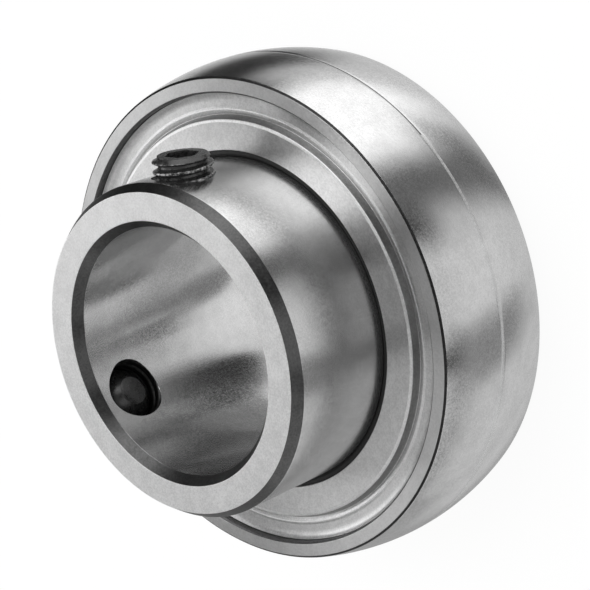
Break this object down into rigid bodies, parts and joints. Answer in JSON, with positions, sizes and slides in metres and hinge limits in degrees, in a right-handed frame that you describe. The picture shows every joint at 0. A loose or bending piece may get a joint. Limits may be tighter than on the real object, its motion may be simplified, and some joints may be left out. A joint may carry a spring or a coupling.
{
  "type": "insert bearing",
  "caption": "Ball bearing insert with a spherical outer ring and a long inner ring that set screws lock on a plain shaft; it sits in a spherical housing seat.",
  "frame": {"origin": "centre of the sphere of the outer ring, on the shaft's axis", "axes": "+Z along the bore, towards the long end of the inner ring; +X through the first set screw"},
  "size_m": [0.052, 0.052, 0.0267],
  "materials": {
    "outer_ring_steel": "ground",
    "inner_ring_steel": "ground",
    "ball_steel": "lapped",
    "cage_sheet": "pressed",
    "seal_sheet": "zinc plated",
    "seal_rubber": "matt",
    "blackened_steel": "black oxide"
  },
  "bodies": {
    "outer_unit": {"outer_ring": "outer_ring_steel", "seal_plate_front": "seal_sheet", "seal_lip_front": "seal_rubber", "seal_plate_rear": "seal_sheet", "seal_lip_rear": "seal_rubber"},
    "inner_unit": {"inner_ring": "inner_ring_steel"},
    "cage_unit": {"cage_half_front": "cage_sheet", "cage_half_rear": "cage_sheet", "cage_rivets": "cage_sheet"},
    "screw_unit_1": {"set_screw_1": "blackened_steel"},
    "screw_unit_2": {"set_screw_2": "blackened_steel"},
    "ball_unit_1": {"ball_1": "ball_steel"},
    "ball_unit_2": {"ball_2": "ball_steel"},
    "ball_unit_3": {"ball_3": "ball_steel"},
    "ball_unit_4": {"ball_4": "ball_steel"},
    "ball_unit_5": {"ball_5": "ball_steel"},
    "ball_unit_6": {"ball_6": "ball_steel"},
    "ball_unit_7": {"ball_7": "ball_steel"},
    "ball_unit_8": {"ball_8": "ball_steel"},
    "ball_unit_9": {"ball_9": "ball_steel"}
  },
  "joints": [
    {"name": "inner_ring_spin", "type": "hinge", "parent": "outer_unit", "child": "inner_unit", "pos_m": [0, 0, 0], "axis": [0, 0, 1], "continuous": true},
    {"name": "cage_spin", "type": "hinge", "parent": "outer_unit", "child": "cage_unit", "pos_m": [0, 0, 0], "axis": [0, 0, 1], "continuous": true},
    {"name": "ball_1_spin", "type": "hinge", "parent": "cage_unit", "child": "ball_unit_1", "pos_m": [0.01951, 0, 0], "axis": [0, 0, 1], "continuous": true},
    {"name": "ball_2_spin", "type": "hinge", "parent": "cage_unit", "child": "ball_unit_2", "pos_m": [0.01495, 0.01254, 0], "axis": [0, 0, 1], "continuous": true},
    {"name": "ball_3_spin", "type": "hinge", "parent": "cage_unit", "child": "ball_unit_3", "pos_m": [0.00339, 0.01921, 0], "axis": [0, 0, 1], "continuous": true},
    {"name": "ball_4_spin", "type": "hinge", "parent": "cage_unit", "child": "ball_unit_4", "pos_m": [-0.00976, 0.0169, 0], "axis": [0, 0, 1], "continuous": true},
    {"name": "ball_5_spin", "type": "hinge", "parent": "cage_unit", "child": "ball_unit_5", "pos_m": [-0.01833, 0.00667, 0], "axis": [0, 0, 1], "continuous": true},
    {"name": "ball_6_spin", "type": "hinge", "parent": "cage_unit", "child": "ball_unit_6", "pos_m": [-0.01833, -0.00667, 0], "axis": [0, 0, 1], "continuous": true},
    {"name": "ball_7_spin", "type": "hinge", "parent": "cage_unit", "child": "ball_unit_7", "pos_m": [-0.00976, -0.0169, 0], "axis": [0, 0, 1], "continuous": true},
    {"name": "ball_8_spin", "type": "hinge", "parent": "cage_unit", "child": "ball_unit_8", "pos_m": [0.00339, -0.01921, 0], "axis": [0, 0, 1], "continuous": true},
    {"name": "ball_9_spin", "type": "hinge", "parent": "cage_unit", "child": "ball_unit_9", "pos_m": [0.01495, -0.01254, 0], "axis": [0, 0, 1], "continuous": true},
    {"name": "set_screw_1_travel", "type": "slide", "parent": "inner_unit", "child": "screw_unit_1", "axis": [1, 0, 0], "range_m": [-0.00025, 0.0035]},
    {"name": "set_screw_2_travel", "type": "slide", "parent": "inner_unit", "child": "screw_unit_2", "axis": [-0.5299, 0.848, 0], "range_m": [-0.00025, 0.0035]}
  ],
  "couplings": [
    {"joint": "cage_spin", "follows": "inner_ring_spin", "ratio": 0.39829},
    {"joint": "ball_1_spin", "follows": "inner_ring_spin", "ratio": -2.3562},
    {"joint": "ball_2_spin", "follows": "inner_ring_spin", "ratio": -2.3562},
    {"joint": "ball_3_spin", "follows": "inner_ring_spin", "ratio": -2.3562},
    {"joint": "ball_4_spin", "follows": "inner_ring_spin", "ratio": -2.3562},
    {"joint": "ball_5_spin", "follows": "inner_ring_spin", "ratio": -2.3562},
    {"joint": "ball_6_spin", "follows": "inner_ring_spin", "ratio": -2.3562},
    {"joint": "ball_7_spin", "follows": "inner_ring_spin", "ratio": -2.3562},
    {"joint": "ball_8_spin", "follows": "inner_ring_spin", "ratio": -2.3562},
    {"joint": "ball_9_spin", "follows": "inner_ring_spin", "ratio": -2.3562}
  ]
}
